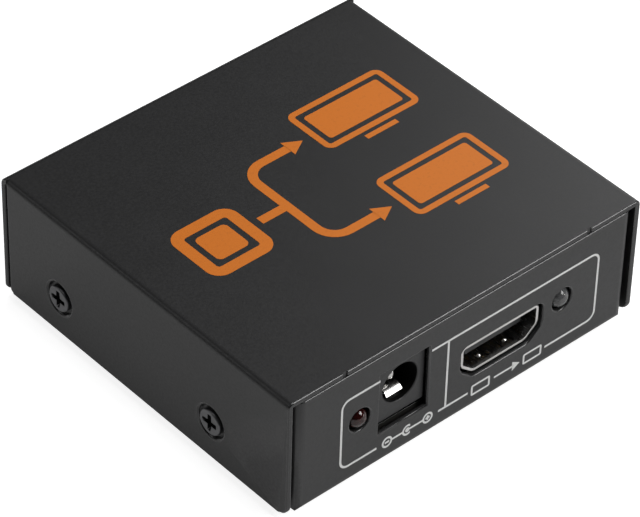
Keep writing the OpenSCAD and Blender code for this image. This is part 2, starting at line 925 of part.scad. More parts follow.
// Gull-wing lead that leaves a chip body at the origin towards +X
module gull_2d(reach, height, t) {
    polygon([
        [0, height], [reach / 2, height], [reach / 2 + t, t], [reach, t],
        [reach, 0], [reach / 2, 0], [reach / 2 - t, height - t], [0, height - t]
    ]);
}

module lead_row(count, pitch, w, reach, height, t) {
    for (i = [0 : count - 1])
        translate([0, (i - (count - 1) / 2) * pitch + w / 2, 0])
            rotate([90, 0, 0])
                linear_extrude(w)
                    gull_2d(reach, height, t);
}

// Moulded chip body, standing clear of the board on its leads
module chip_body(x, y, h) {
    translate([-x / 2, -y / 2, chip_stand])
        cube([x, y, h]);
}

module splitter_chip() {
    color("#26272a")
        translate([0, chip_y, z_board]) {
            chip_body(chip_w, chip_w, chip_h);
            for (a = [0 : 90 : 270])
                rotate([0, 0, a])
                    translate([chip_w / 2, 0, 0])
                        lead_row(chip_leads, chip_pitch, chip_pitch * 0.45, 1, chip_h / 2 + 0.2, 0.15);
        }
}

module memory_chip() {
    body_l = 4.9;
    body_w = 3.9;
    body_h = 1.4;
    color("#26272a")
        translate([memory_place[0], memory_place[1], z_board]) {
            chip_body(body_w, body_l, body_h);
            for (a = [0, 180])
                rotate([0, 0, a])
                    translate([body_w / 2, 0, 0])
                        lead_row(4, memory_pitch, memory_pitch / 3, memory_reach, body_h / 2 + 0.2, 0.2);
        }
}

module regulators() {
    body_l = 6.5;
    body_w = 3.5;
    body_h = 1.5;
    color("#26272a")
        for (p = regulator_places)
            translate([p[0], p[1], z_board]) {
                chip_body(body_w, body_l, body_h);
                translate([body_w / 2, 0, 0])
                    lead_row(3, regulator_pitch, 0.7, regulator_reach, body_h / 2 + 0.2, 0.25);
                rotate([0, 0, 180])
                    translate([body_w / 2, 0, 0])
                        lead_row(1, regulator_pitch, 3, regulator_reach, body_h / 2 + 0.2, 0.25);
            }
}

module stadium_2d(l, w) {
    translate([-(l - w) / 2, -w / 2])
        square([l - w, w]);
    for (x = [-1, 1])
        translate([x * (l - w) / 2, 0])
            circle(w / 2);
}

// Crystal: drawn can with a welded foot flange, upright on the board
module crystal() {
    flange = 0.4;
    color("#c2c4c6")
        translate([crystal_place[0], crystal_place[1], z_board])
            rotate([0, 0, 90]) {
                along_z(0, flange)
                    stadium_2d(crystal_l, crystal_w);
                along_z(flange, crystal_h)
                    stadium_2d(crystal_l - 2 * flange, crystal_w - 2 * flange);
            }
}

// Supply capacitor: crimped aluminium can on a plastic foot
module supply_capacitor() {
    foot_t = 0.6;
    foot_w = can_d + 0.3;
    groove = 0.35;
    color("#b4b7ba")
        translate([can_place[0], can_place[1], z_board]) {
            translate([-foot_w / 2, -foot_w / 2, 0])
                cube([foot_w, foot_w, foot_t]);
            translate([0, 0, foot_t])
                rotate_extrude()
                    difference() {
                        square([can_d / 2, can_h - foot_t]);
                        translate([can_d / 2, 3 * groove])
                            circle(groove);
                    }
        }
}

module protection_diode() {
    body_l = 4.3;
    body_w = 2.6;
    body_h = 2.1;
    color("#26272a")
        translate([diode_place[0], diode_place[1], z_board]) {
            chip_body(body_w, body_l, body_h);
            for (a = [90, 270])
                rotate([0, 0, a])
                    translate([body_l / 2, 0, 0])
                        lead_row(1, 1, 1.4, 0.8, body_h / 2, 0.2);
        }
}

// One surge array behind the tails of each socket
module surge_arrays() {
    body_l = 2.5;
    body_w = 1;
    body_h = 0.55;
    color("#2c2d30")
        for (place = socket_places, x = [-3.2, 0, 3.2])
            at_socket(place)
                translate([x - body_l / 2, shell_l + 2.2, 0])
                    cube([body_l, body_w, body_h]);
}

// Two-terminal chips in a row along X, centred on a place
module chip_row(x, y, count) {
    for (i = [0 : count - 1])
        translate([x + (i - (count - 1) / 2) * passive_pitch - passive_w / 2, y - passive_l / 2, z_board])
            cube([passive_w, passive_l, passive_h]);
}

module chip_capacitors() {
    color("#b39a78") {
        chip_row(0, chip_y + chip_w / 2 + row_gap, 6);
        chip_row(0, chip_y - chip_w / 2 - row_gap, 5);
    }
}

module chip_resistors() {
    color("#202124") {
        chip_row(0, chip_y + chip_w / 2 + row_gap + row_step, 6);
        chip_row(resistor_place[0], resistor_place[1], 4);
    }
}

// Cover
// Section of the right-hand fold and the side plate below it; the fold's inside corner is sharp
module side_fold_2d() {
    translate([case_w / 2 - fold_w, z_top - fold_w])
        difference() {
            square(fold_w);
            translate([-over, -over])
                square(fold_r + over);
            translate([fold_w, fold_w])
                rotate(180)
                    corner_cut_2d(fold_r);
        }
    translate([case_w / 2 - sheet, z_skirt])
        square([sheet, z_top - fold_w - z_skirt]);
}

module cover_plates() {
    translate([-case_w / 2 + fold_w, y_edge, z_top - sheet])
        cube([case_w - 2 * fold_w, y_plate_end - y_edge, sheet]);
    both_sides()
        along_y(y_edge, y_plate_end)
            side_fold_2d();
    along_x(-case_w / 2, case_w / 2) {
        translate([y_plate_end, z_top - rear_out])
            bend_2d(slit_w, sheet);
        translate([y_rear - sheet, z_skirt])
            square([sheet, z_top - rear_out - z_skirt]);
    }
}

module cover_corners() {
    along_x(-case_w / 2 - over, case_w / 2 + over) {
        translate([y_edge, z_skirt])
            corner_cut_2d(skirt_r);
        translate([y_plate_end, z_skirt])
            mirror([1, 0])
                intersection() {
                    corner_cut_2d(rear_r);
                    translate([0, -over])
                        square(rear_r + over);
                }
    }
    both_sides()
        along_y(y_rear - sheet - slit_w / 2, y_rear + over)
            translate([-case_w / 2, z_skirt])
                corner_cut_2d(rear_r);
}

module top_cover() {
    color("#3a3b3d")
        difference() {
            cover_plates();
            cover_corners();
            both_sides() {
                for (y = screw_places)
                    screw_void(y);
                translate([notch_x - notch_w / 2, y_edge - over, z_top - sheet - over])
                    cube([notch_w, notch_d + over, sheet + 2 * over]);
            }
            socket_cutout(socket_places[1]);
            socket_cutout(socket_places[2]);
            lamp_hole(lamp_places[2]);
            lamp_hole(lamp_places[3]);
        }
}

// Side screws: flat heads with a bevelled rim, a little proud of the dished seats
module cover_screws() {
    rim = seat_h / 4;
    head_h = seat_h + screw_out;
    color("#2b2b2d")
        both_sides()
            for (y = screw_places)
                translate([case_w / 2 + screw_out, y, z_base + screw_z])
                    rotate([0, -90, 0])
                        difference() {
                            rotate_extrude()
                                polygon([
                                    [0, 0], [screw_head_d / 2 - rim, 0], [screw_head_d / 2, rim],
                                    [screw_head_d / 2, head_h], [screw_d / 2, head_h],
                                    [screw_d / 2, screw_l + screw_out], [0, screw_l + screw_out]
                                ]);
                            mirror([0, 0, 1])
                                cross_recess(cross_l, cross_w, cross_h);
                        }
}

base_tray();
rubber_feet();
board_standoffs();
circuit_board();
board_screws();
power_jack_housing();
power_jack_pin();
power_jack_spring();
power_jack_rear_terminal();
power_jack_side_terminal();
input_socket_shell();
input_socket_insulator();
input_socket_contacts();
output_socket_1_shell();
output_socket_1_insulator();
output_socket_1_contacts();
output_socket_2_shell();
output_socket_2_insulator();
output_socket_2_contacts();
power_lamp();
input_lamp();
output_lamp_1();
output_lamp_2();
lamp_leads();
splitter_chip();
memory_chip();
regulators();
crystal();
supply_capacitor();
protection_diode();
surge_arrays();
chip_capacitors();
chip_resistors();
top_cover();
cover_screws();
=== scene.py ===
# Two-way video splitter in a folded steel case, finished piece by piece in the order it is put together.
import math

import bmesh
import bpy
from mathutils import Matrix, Vector


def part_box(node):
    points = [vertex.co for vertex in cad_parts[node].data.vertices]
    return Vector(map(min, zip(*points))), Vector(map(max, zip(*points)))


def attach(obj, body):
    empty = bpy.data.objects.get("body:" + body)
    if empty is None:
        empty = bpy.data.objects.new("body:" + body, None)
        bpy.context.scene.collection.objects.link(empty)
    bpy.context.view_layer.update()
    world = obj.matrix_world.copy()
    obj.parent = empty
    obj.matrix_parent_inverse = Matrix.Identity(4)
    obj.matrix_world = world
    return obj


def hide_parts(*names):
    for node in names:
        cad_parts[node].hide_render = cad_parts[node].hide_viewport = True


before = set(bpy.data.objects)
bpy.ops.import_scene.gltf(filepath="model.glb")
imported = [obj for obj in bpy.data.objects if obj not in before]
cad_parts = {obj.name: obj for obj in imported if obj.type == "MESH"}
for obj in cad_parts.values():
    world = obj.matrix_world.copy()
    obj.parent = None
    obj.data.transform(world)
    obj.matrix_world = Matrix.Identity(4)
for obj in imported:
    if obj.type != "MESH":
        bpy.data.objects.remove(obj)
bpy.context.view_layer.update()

# Camera
# A long lens looks down at the front left corner of the box from half a metre away,
# turned a little about its own axis.
MM = 0.001
CAMERA_AZIMUTH = math.radians(-42.555)
CAMERA_ELEVATION = math.radians(40.959)
CAMERA_ROLL = math.radians(1.677)
CAMERA_PLACE = Vector((-274.86, -298.83, 362.75)) * MM
camera_data = bpy.data.cameras.new("camera")
camera_data.sensor_width = 36
camera_data.lens = 211
camera_data.shift_x = 0.0064
camera_data.shift_y = -0.0064
camera = bpy.data.objects.new("camera", camera_data)
bpy.context.scene.collection.objects.link(camera)
back = Vector((
    math.sin(CAMERA_AZIMUTH) * math.cos(CAMERA_ELEVATION),
    -math.cos(CAMERA_AZIMUTH) * math.cos(CAMERA_ELEVATION),
    math.sin(CAMERA_ELEVATION),
))
right = (-back).cross(Vector((0, 0, 1))).normalized()
up = right.cross(-back)
turned_right = right * math.cos(CAMERA_ROLL) + up * math.sin(CAMERA_ROLL)
turned_up = up * math.cos(CAMERA_ROLL) - right * math.sin(CAMERA_ROLL)
turned = Matrix((turned_right, turned_up, back)).transposed().to_4x4()
camera.matrix_world = Matrix.Translation(CAMERA_PLACE) @ turned
bpy.context.scene.camera = camera

# Base tray
# Floor, front panel and side returns folded from one steel sheet and sprayed with charcoal powder
# coat, which leaves a fine orange peel and flows round every cut edge in a smooth, shiny bead.
COAT_EDGE = 0.28 * MM
COAT_COLOUR = (0.0185, 0.0185, 0.019)
WELD = 0.002 * MM
FLAT_ANGLE = math.radians(0.3)
SHARP_ANGLE = math.radians(38)
SLIVER_ANGLE = math.radians(20)
SMOOTH_ANGLE = math.radians(40)
NEARLY_STRAIGHT = 0.9


def finished(name, mesh, material):
    """A piece from its mesh, with its material, riding on the object's one body."""
    piece = bpy.data.objects.new(name, mesh)
    bpy.context.scene.collection.objects.link(piece)
    mesh.materials.append(material)
    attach(piece, "root")
    return piece


def stands_out(edge):
    """Whether an edge is sharp and turns outwards, and its faces don't end in a sliver there."""
    if not edge.is_manifold or not edge.is_convex or edge.calc_face_angle() < SHARP_ANGLE:
        return False
    corners = [loop.calc_angle() for side in edge.link_loops for loop in (side, side.link_loop_next)]
    return min(corners) > SLIVER_ANGLE


def runs_on(edge, sharp):
    """Whether a short edge is part of a curve: at both ends another sharp edge carries on nearly straight."""
    for here, there in (edge.verts, reversed(edge.verts)):
        along = (there.co - here.co).normalized()
        others = [e.other_vert(there).co - there.co for e in there.link_edges if e is not edge and e in sharp]
        if not any(along.dot(other.normalized()) > NEARLY_STRAIGHT for other in others):
            return False
    return True


def rounded_copy(node, name, edge, material, segments=2, bead=None):
    """A copy of a node, in its place, with facets welded and sharp outer edges rounded.

    A bead is a second finish, which the rounded edges get.
    """
    bm = bmesh.new()
    bm.from_mesh(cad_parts[node].data)
    bmesh.ops.remove_doubles(bm, verts=bm.verts, dist=WELD)
    bmesh.ops.dissolve_limit(bm, angle_limit=FLAT_ANGLE, verts=bm.verts, edges=bm.edges)
    sharp = {e for e in bm.edges if stands_out(e)}
    long_or_curved = [e for e in sharp if e.calc_length() > 3 * edge or runs_on(e, sharp)]
    rounded = bmesh.ops.bevel(
        bm, geom=long_or_curved, offset=edge, offset_type="OFFSET", affect="EDGES", segments=segments,
        profile=0.5, material=-1, clamp_overlap=False,
    )
    for face in rounded["faces"]:
        face.material_index = 1 if bead else 0
    mesh = bpy.data.meshes.new(name)
    bm.to_mesh(mesh)
    bm.free()
    mesh.shade_smooth()
    mesh.set_sharp_from_angle(angle=SMOOTH_ANGLE)
    piece = finished(name, mesh, material)
    if bead:
        mesh.materials.append(bead)
    weighted = piece.modifiers.new("flat_faces", "WEIGHTED_NORMAL")
    weighted.keep_sharp = True
    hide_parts(node)
    return piece


def new_material(name):
    """A material with its node tree, its shader and the Object coordinates that its patterns read."""
    material = bpy.data.materials.new(name)
    material.use_nodes = True
    tree = material.node_tree
    shader = tree.nodes["Principled BSDF"]
    place = tree.nodes.new("ShaderNodeTexCoord")
    return material, tree, shader, place.outputs["Object"]


def noise(tree, coords, scale, detail=3):
    """Cloudy pattern; scale is the number of cells in a metre."""
    node = tree.nodes.new("ShaderNodeTexNoise")
    node.inputs["Scale"].default_value = scale
    node.inputs["Detail"].default_value = detail
    tree.links.new(coords, node.inputs["Vector"])
    return node.outputs["Fac"]


def spread(tree, value, low, high, start=0.3, end=0.7):
    """Values between start and end spread from low to high."""
    node = tree.nodes.new("ShaderNodeMapRange")
    node.inputs["From Min"].default_value = start
    node.inputs["From Max"].default_value = end
    node.inputs["To Min"].default_value = low
    node.inputs["To Max"].default_value = high
    tree.links.new(value, node.inputs["Value"])
    return node.outputs["Result"]


def tinted(tree, value, dark, light):
    """Colour between two tints, picked by a pattern."""
    node = tree.nodes.new("ShaderNodeMix")
    node.data_type = "RGBA"
    node.inputs["A"].default_value = (*dark, 1)
    node.inputs["B"].default_value = (*light, 1)
    tree.links.new(value, node.inputs["Factor"])
    return node.outputs["Result"]


def raised(tree, shader, height, strength, depth):
    """Relief from a pattern; depth is its full height in metres."""
    node = tree.nodes.new("ShaderNodeBump")
    node.inputs["Strength"].default_value = strength
    node.inputs["Distance"].default_value = depth
    tree.links.new(height, node.inputs["Height"])
    tree.links.new(node.outputs["Normal"], shader.inputs["Normal"])


def powder_coat(name, colour, dull, shine):
    """Baked powder paint: fine grain, soft orange peel and a dull sheen."""
    material, tree, shader, coords = new_material(name)
    cloud = noise(tree, coords, 90, detail=4)
    dark = tuple(0.93 * c for c in colour)
    light = tuple(1.07 * c for c in colour)
    tree.links.new(tinted(tree, spread(tree, cloud, 0, 1), dark, light), shader.inputs["Base Color"])
    grain = noise(tree, coords, 2600, detail=2)
    tree.links.new(spread(tree, grain, dull - 0.05, dull + 0.05), shader.inputs["Roughness"])
    raised(tree, shader, grain, 0.25, 0.02 * MM)
    shader.inputs["Specular IOR Level"].default_value = shine
    return material


coat = powder_coat("charcoal_powder_coat", COAT_COLOUR, 0.41, 0.5)
coat_bead = powder_coat("charcoal_coat_bead", COAT_COLOUR, 0.24, 0.7)
rounded_copy("base_tray", "tray_sheet", COAT_EDGE, coat, 3, coat_bead)

# Front panel print
# White silk-screen lines on the front panel: a rounded frame round the inlet and the input,
# parted by an upright line, with small signs in the breaks of its lower edge.
INK_T = 0.03
INK_SINK = 0.01
LINE_W = 0.36
FRAME_X = (-23.53, 25.41)
FRAME_Z = (4.76, 17.57)
FRAME_R = 1.6
DIVIDER_X = -3.75
JACK_BREAK = (-16.45, -6.9)
POWER_SIGN = (-16.65, -5.1)
INPUT_SIGN = (0.55, 15.5)
SIGN_R = 0.97
SIGN_LINE = 0.33
RING_STEP = 3.8
DOT_R = 0.4
BOX_NEAR = 3.2
BOX_FAR = 6.85
BOX_R = 0.3
SHAFT_START = -2.4
SHAFT_END = 1.2
ARROW_X = 1.6
panel_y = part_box("base_tray")[0][1]


def ink(name, colour):
    """Screen-printed ink: nearly flat, with faint pinholes in its film."""
    material, tree, shader, coords = new_material(name)
    speck = noise(tree, coords, 1800, detail=3)
    dark = tuple(0.9 * c for c in colour)
    film = spread(tree, speck, 0, 1, 0.25, 0.45)
    tree.links.new(tinted(tree, film, dark, colour), shader.inputs["Base Color"])
    shader.inputs["Roughness"].default_value = 0.5
    raised(tree, shader, speck, 0.15, 0.01 * MM)
    return material


def flat_box(bm, x0, x1, y0, y1):
    """A rectangle in the drawing plane, in millimetres; gives back its face."""
    made = bmesh.ops.create_grid(bm, x_segments=1, y_segments=1, size=0.5)
    bmesh.ops.scale(bm, vec=(x1 - x0, y1 - y0, 1), verts=made["verts"])
    bmesh.ops.translate(bm, vec=((x0 + x1) / 2, (y0 + y1) / 2, 0), verts=made["verts"])
    return made["verts"][0].link_faces[0]


def round_box(bm, x0, x1, y0, y1, r):
    """A rectangle with round corners; gives back its face."""
    face = flat_box(bm, x0, x1, y0, y1)
    made = bmesh.ops.bevel(
        bm, geom=list(face.verts), offset=r, offset_type="OFFSET", affect="VERTICES", segments=8,
        profile=0.5, material=-1, clamp_overlap=False,
    )
    return made["verts"][0].link_faces[0]


def disc(bm, x, y, r, sides=40):
    """A round spot, or with three sides an arrow head that points to the right; gives back its face."""
    turned = Matrix.Translation((x, y, 0)) @ Matrix.Rotation(-math.pi / 2, 4, "Z")
    made = bmesh.ops.create_circle(bm, cap_ends=True, segments=sides, radius=r, matrix=turned)
    return made["verts"][0].link_faces[0]


def outline(bm, face, width):
    """Keeps only a line of the given width along the inside of a face's edge."""
    bmesh.ops.inset_region(bm, faces=[face], thickness=width, use_boundary=True, use_even_offset=True)
    bmesh.ops.delete(bm, geom=[face], context="FACES")


def cut_away(bm, x0, x1, y0, y1):
    """Clears the drawing between two upright cuts, from y0 up to y1."""
    for x in (x0, x1):
        bmesh.ops.bisect_plane(
            bm, geom=list(bm.verts) + list(bm.edges) + list(bm.faces), plane_co=(x, 0, 0), plane_no=(1, 0, 0),
        )
    inside = []
    for face in bm.faces:
        centre = face.calc_center_median()
        if x0 < centre.x < x1 and y0 < centre.y < y1:
            inside.append(face)
    bmesh.ops.delete(bm, geom=inside, context="FACES")


def printed(name, bm, material, place):
    """Lays a flat drawing in millimetres on a surface as a thin film of ink; place puts it there."""
    film = bmesh.ops.extrude_face_region(bm, geom=list(bm.faces))
    lifted = [v for v in film["geom"] if isinstance(v, bmesh.types.BMVert)]
    bmesh.ops.translate(bm, vec=(0, 0, INK_T + INK_SINK), verts=lifted)
    bmesh.ops.recalc_face_normals(bm, faces=bm.faces)
    bmesh.ops.translate(bm, vec=(0, 0, -INK_SINK), verts=bm.verts)
    bmesh.ops.transform(bm, matrix=place @ Matrix.Scale(MM, 4), verts=bm.verts)
    mesh = bpy.data.meshes.new(name)
    bm.to_mesh(mesh)
    bm.free()
    piece = finished(name, mesh, material)


white_ink = ink("white_ink", (0.84, 0.84, 0.83))
on_front = Matrix.Translation((0, panel_y, 0)) @ Matrix.Rotation(math.pi / 2, 4, "X")
bm = bmesh.new()
outline(bm, round_box(bm, *FRAME_X, *FRAME_Z, FRAME_R), LINE_W)
middle_z = sum(FRAME_Z) / 2
cut_away(bm, *JACK_BREAK, middle_z, FRAME_Z[1])
cut_away(bm, *POWER_SIGN, FRAME_Z[0], middle_z)
cut_away(bm, *INPUT_SIGN, FRAME_Z[0], middle_z)
printed("front_frame_print", bm, white_ink, on_front)

bm = bmesh.new()
flat_box(bm, DIVIDER_X - LINE_W / 2, DIVIDER_X + LINE_W / 2, FRAME_Z[0] + LINE_W, FRAME_Z[1] - LINE_W)
printed("front_divider_print", bm, white_ink, on_front)


def stroke(bm, x0, x1, y):
    """A level line of the signs."""
    flat_box(bm, x0, x1, y - SIGN_LINE / 2, y + SIGN_LINE / 2)


# The inlet's sign: ringed minus, an open arc round the pin's dot, ringed plus.
sign_z = FRAME_Z[0] + LINE_W / 2
sign_x = sum(POWER_SIGN) / 2
minus_x = sign_x - RING_STEP
plus_x = sign_x + RING_STEP
bm = bmesh.new()
for x in (minus_x, sign_x, plus_x):
    outline(bm, disc(bm, x, sign_z, SIGN_R), SIGN_LINE)
cut_away(bm, sign_x + SIGN_R / 2, sign_x + SIGN_R, sign_z - SIGN_R, sign_z + SIGN_R)
disc(bm, sign_x, sign_z, DOT_R)
stroke(bm, minus_x + SIGN_R, sign_x - SIGN_R, sign_z)
stroke(bm, sign_x + DOT_R, plus_x - SIGN_R, sign_z)
for x in (minus_x, plus_x):
    stroke(bm, x - DOT_R, x + DOT_R, sign_z)
for low in (sign_z - DOT_R, sign_z + SIGN_LINE / 2):
    flat_box(bm, plus_x - SIGN_LINE / 2, plus_x + SIGN_LINE / 2, low, low + DOT_R - SIGN_LINE / 2)
printed("inlet_sign_print", bm, white_ink, on_front)

# The input's sign: an arrow from one box to the other.
sign_x = sum(INPUT_SIGN) / 2
low, high = sign_z - SIGN_R, sign_z + SIGN_R
bm = bmesh.new()
outline(bm, round_box(bm, sign_x - BOX_FAR, sign_x - BOX_NEAR, low, high, BOX_R), SIGN_LINE)
outline(bm, round_box(bm, sign_x + BOX_NEAR, sign_x + BOX_FAR, low, high, BOX_R), SIGN_LINE)
stroke(bm, sign_x + SHAFT_START, sign_x + SHAFT_END, sign_z)
disc(bm, sign_x + ARROW_X, sign_z, SIGN_R, sides=3)
printed("input_sign_print", bm, white_ink, on_front)

# Rubber feet
# Four black rubber discs, moulded with a bevelled rim and glued under the tray's corners,
# which lift the case a little off the table.
FOOT_EDGE = 0.25 * MM


def moulded(name, colour, dull, depth):
    """Moulded plastic or rubber: faint flow clouds in its tint and a fine dull grain of the given depth."""
    material, tree, shader, coords = new_material(name)
    cloud = noise(tree, coords, 160)
    dark = tuple(0.85 * c for c in colour)
    light = tuple(1.15 * c for c in colour)
    tree.links.new(tinted(tree, spread(tree, cloud, 0, 1), dark, light), shader.inputs["Base Color"])
    grain = noise(tree, coords, 5200, detail=2)
    tree.links.new(spread(tree, grain, dull - 0.06, dull + 0.06), shader.inputs["Roughness"])
    raised(tree, shader, grain, 0.25, depth)
    return material


rubber = moulded("foot_rubber", (0.018, 0.018, 0.018), 0.75, 0.03 * MM)
rounded_copy("rubber_feet", "feet", FOOT_EDGE, rubber, segments=3)

# Board standoffs and screws
# Zinc-plated steel: turned standoffs pressed into the floor, and rolled pan-head screws with a cross
# recess that hold the board down on them.
STANDOFF_EDGE = 0.12 * MM
PAN_HEAD_EDGE = 0.08 * MM


def plated(name, colour, dull):
    """Plated metal: fine streaks from rolling and drawing, and faint clouding in its tint."""
    material, tree, shader, coords = new_material(name)
    stain = noise(tree, coords, 350, detail=4)
    dark = tuple(0.86 * c for c in colour)
    tree.links.new(tinted(tree, spread(tree, stain, 0, 1), dark, colour), shader.inputs["Base Color"])
    drawn = tree.nodes.new("ShaderNodeMapping")
    drawn.inputs["Scale"].default_value = (1, 0.1, 1)
    tree.links.new(coords, drawn.inputs["Vector"])
    streak = noise(tree, drawn.outputs["Vector"], 6000, detail=2)
    tree.links.new(spread(tree, streak, dull - 0.06, dull + 0.06), shader.inputs["Roughness"])
    raised(tree, shader, streak, 0.12, 0.006 * MM)
    shader.inputs["Metallic"].default_value = 1
    return material


zinc = plated("zinc_plate", (0.60, 0.62, 0.64), 0.36)
rounded_copy("board_standoffs", "standoffs", STANDOFF_EDGE, zinc)
rounded_copy("board_screws", "pan_head_screws", PAN_HEAD_EDGE, zinc)

# Circuit board
# Glass-fibre laminate with copper tracks under black resist on both faces and bare edges, routed to shape
# # and screwed to the standoffs. The edges' near-black colour is partly painted shade, for the dark gap below
# the inlet.
BOARD_EDGE = 0.06 * MM
RESIST = (0.006, 0.007, 0.007)
RESIST_ON_COPPER = (0.016, 0.018, 0.017)
LAMINATE_AND_PAINTED_SHADE = (0.012, 0.011, 0.009)


def resist(name):
    """Solder resist: squared tracks show lighter through the black lacquer, which pools round them."""
    material, tree, shader, coords = new_material(name)
    tracks = tree.nodes.new("ShaderNodeTexBrick")
    tracks.offset = 0.37
    tracks.inputs["Color1"].default_value = (0, 0, 0, 1)
    tracks.inputs["Color2"].default_value = (0, 0, 0, 1)
    tracks.inputs["Mortar"].default_value = (1, 1, 1, 1)
    tracks.inputs["Scale"].default_value = 260
    tracks.inputs["Mortar Size"].default_value = 0.06
    tracks.inputs["Brick Width"].default_value = 1.7
    tracks.inputs["Row Height"].default_value = 0.32
    tree.links.new(coords, tracks.inputs["Vector"])
    lines = spread(tree, tracks.outputs["Color"], 0, 1, 0, 1)
    tree.links.new(tinted(tree, lines, RESIST, RESIST_ON_COPPER), shader.inputs["Base Color"])
    gloss = noise(tree, coords, 700)
    tree.links.new(spread(tree, gloss, 0.24, 0.36), shader.inputs["Roughness"])
    raised(tree, shader, lines, 0.3, 0.03 * MM)
    return material


# The bare edges get the laminate's tone darkened to near-black: partly painted shade for the gap below the
# inlet.
laminate_and_painted_shade = moulded("glass_laminate_and_painted_shade", LAMINATE_AND_PAINTED_SHADE, 0.7, 0.04 * MM)
board = rounded_copy("circuit_board", "board", BOARD_EDGE, resist("black_resist"))
board.data.materials.append(laminate_and_painted_shade)
for face in board.data.polygons:
    if abs(face.normal.z) < 0.7:
        face.material_index = 1

# Power inlet
# A moulded black housing holds a round-ended nickel pin, a bowed nickel leaf below it that presses on
# the plug's sleeve, and two flat terminals; its square front fills the cut-out in the panel.
HOUSING_EDGE = 0.16 * MM
PIN_EDGE = 0.05 * MM
LEAF_EDGE = 0.06 * MM
TERMINAL_EDGE = 0.08 * MM
BORE_R = 3.3 * MM
FRONT_SKIN = 0.1 * MM
LEAF_START = 1 * MM
LEAF_L = 7.2 * MM
LEAF_LIFT = 0.75 * MM
LEAF_FOOT = 4 * MM
jack_plastic = moulded("jack_plastic", (0.022, 0.022, 0.023), 0.46, 0.012 * MM)
nickel = plated("nickel_plate", (0.70, 0.69, 0.675), 0.22)
housing = rounded_copy("power_jack_housing", "jack_housing", HOUSING_EDGE, jack_plastic, segments=3)
# The walls inside the bore get a near-black, barely shiny copy of the housing plastic: painted shade for the
# dark inside of the bore.
bore_painted_shade = moulded("bore_painted_shade", (0.003, 0.003, 0.003), 0.7, 0.012 * MM)
bore_painted_shade.node_tree.nodes["Principled BSDF"].inputs["Specular IOR Level"].default_value = 0.1
housing.data.materials.append(bore_painted_shade)
low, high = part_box("power_jack_pin")
bore_x, bore_z = (low[0] + high[0]) / 2, (low[2] + high[2]) / 2
front_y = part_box("power_jack_housing")[0][1]
for face in housing.data.polygons:
    off_axis = math.hypot(face.center.x - bore_x, face.center.z - bore_z)
    if off_axis < BORE_R and face.center.y > front_y + FRONT_SKIN:
        face.material_index = 1
rounded_copy("power_jack_pin", "jack_pin", PIN_EDGE, nickel)
leaf = rounded_copy("power_jack_spring", "jack_spring", LEAF_EDGE, nickel)
for v in leaf.data.vertices:
    along = (v.co.y - front_y - LEAF_START) / LEAF_L
    if 0 < along < 1 and v.co.z > bore_z - LEAF_FOOT:
        v.co.z += LEAF_LIFT * math.sin(math.pi * math.sqrt(along))
for terminal in ("rear_terminal", "side_terminal"):
    rounded_copy("power_jack_" + terminal, "jack_" + terminal, TERMINAL_EDGE, nickel)

# Video sockets
# Each is a drawn nickel-plated shell with sprung dimples and solder legs round a black moulded
# insulator, whose tongue carries nineteen gold-plated contacts. One faces the front, two the rear.
SHELL_EDGE = 0.05 * MM
TONGUE_EDGE = 0.05 * MM
CONTACT_EDGE = 0.03 * MM
socket_plastic = moulded("socket_plastic", (0.011, 0.011, 0.012), 0.42, 0.012 * MM)
gold = plated("gold_plate", (0.80, 0.58, 0.24), 0.2)
for socket in ("input_socket", "output_socket_1", "output_socket_2"):
    rounded_copy(socket + "_shell", socket + "_drawn_shell", SHELL_EDGE, nickel)
    rounded_copy(socket + "_insulator", socket + "_tongue", TONGUE_EDGE, socket_plastic)
    rounded_copy(socket + "_contacts", socket + "_gold_contacts", CONTACT_EDGE, gold)

# Indicator lamps
# Cast epoxy lenses with a domed end and a collar, red for power and clear for the signals. Two tinned
# steel leads run into each; one ends in a small bright dish that holds the die.
LENS_EDGE = 0.12 * MM
WIRE_EDGE = 0.06 * MM
DOME_R = 1.7 * MM
DOME_OUT = 0.5 * MM
DOME_ZONE = 0.8 * MM
DISH_DEPTH = 2.4
DISH_R = 0.56
DISH_LIP_R = 0.5
DISH_FLOOR_R = 0.28
DISH_LIP = -0.3
DISH_FLOOR = 0.1
DISH_BACK = 0.5
LEAD_X = 1.27 / 2
LEAD_W = 0.4
LEAD_END = 4.9
LEAD_EDGE = 0.08


def cast_lens(name, colour, clear):
    """Cast epoxy: a tinted clear body with faint haze and a glossy skin."""
    material, tree, shader, coords = new_material(name)
    haze = noise(tree, coords, 300)
    dark = tuple(0.9 * c for c in colour)
    tree.links.new(tinted(tree, spread(tree, haze, 0, 1), dark, colour), shader.inputs["Base Color"])
    tree.links.new(spread(tree, haze, 0.04, 0.11), shader.inputs["Roughness"])
    shader.inputs["Transmission Weight"].default_value = clear
    shader.inputs["IOR"].default_value = 1.52
    return material


red_lens = cast_lens("red_lens", (0.10, 0.012, 0.010), 0.8)
clear_lens = cast_lens("clear_lens", (0.72, 0.73, 0.74), 0.88)
tinned = plated("tinned_steel", (0.66, 0.67, 0.68), 0.3)


def lamp_axis(lamp):
    """The place of a lamp's tip, and 1 or -1 for the way along Y that leads into the case."""
    low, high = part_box(lamp)
    inward = 1 if low[1] < 0 else -1
    tip_y = low[1] if inward > 0 else high[1]
    return Vector(((low[0] + high[0]) / 2, tip_y, (low[2] + high[2]) / 2)), inward


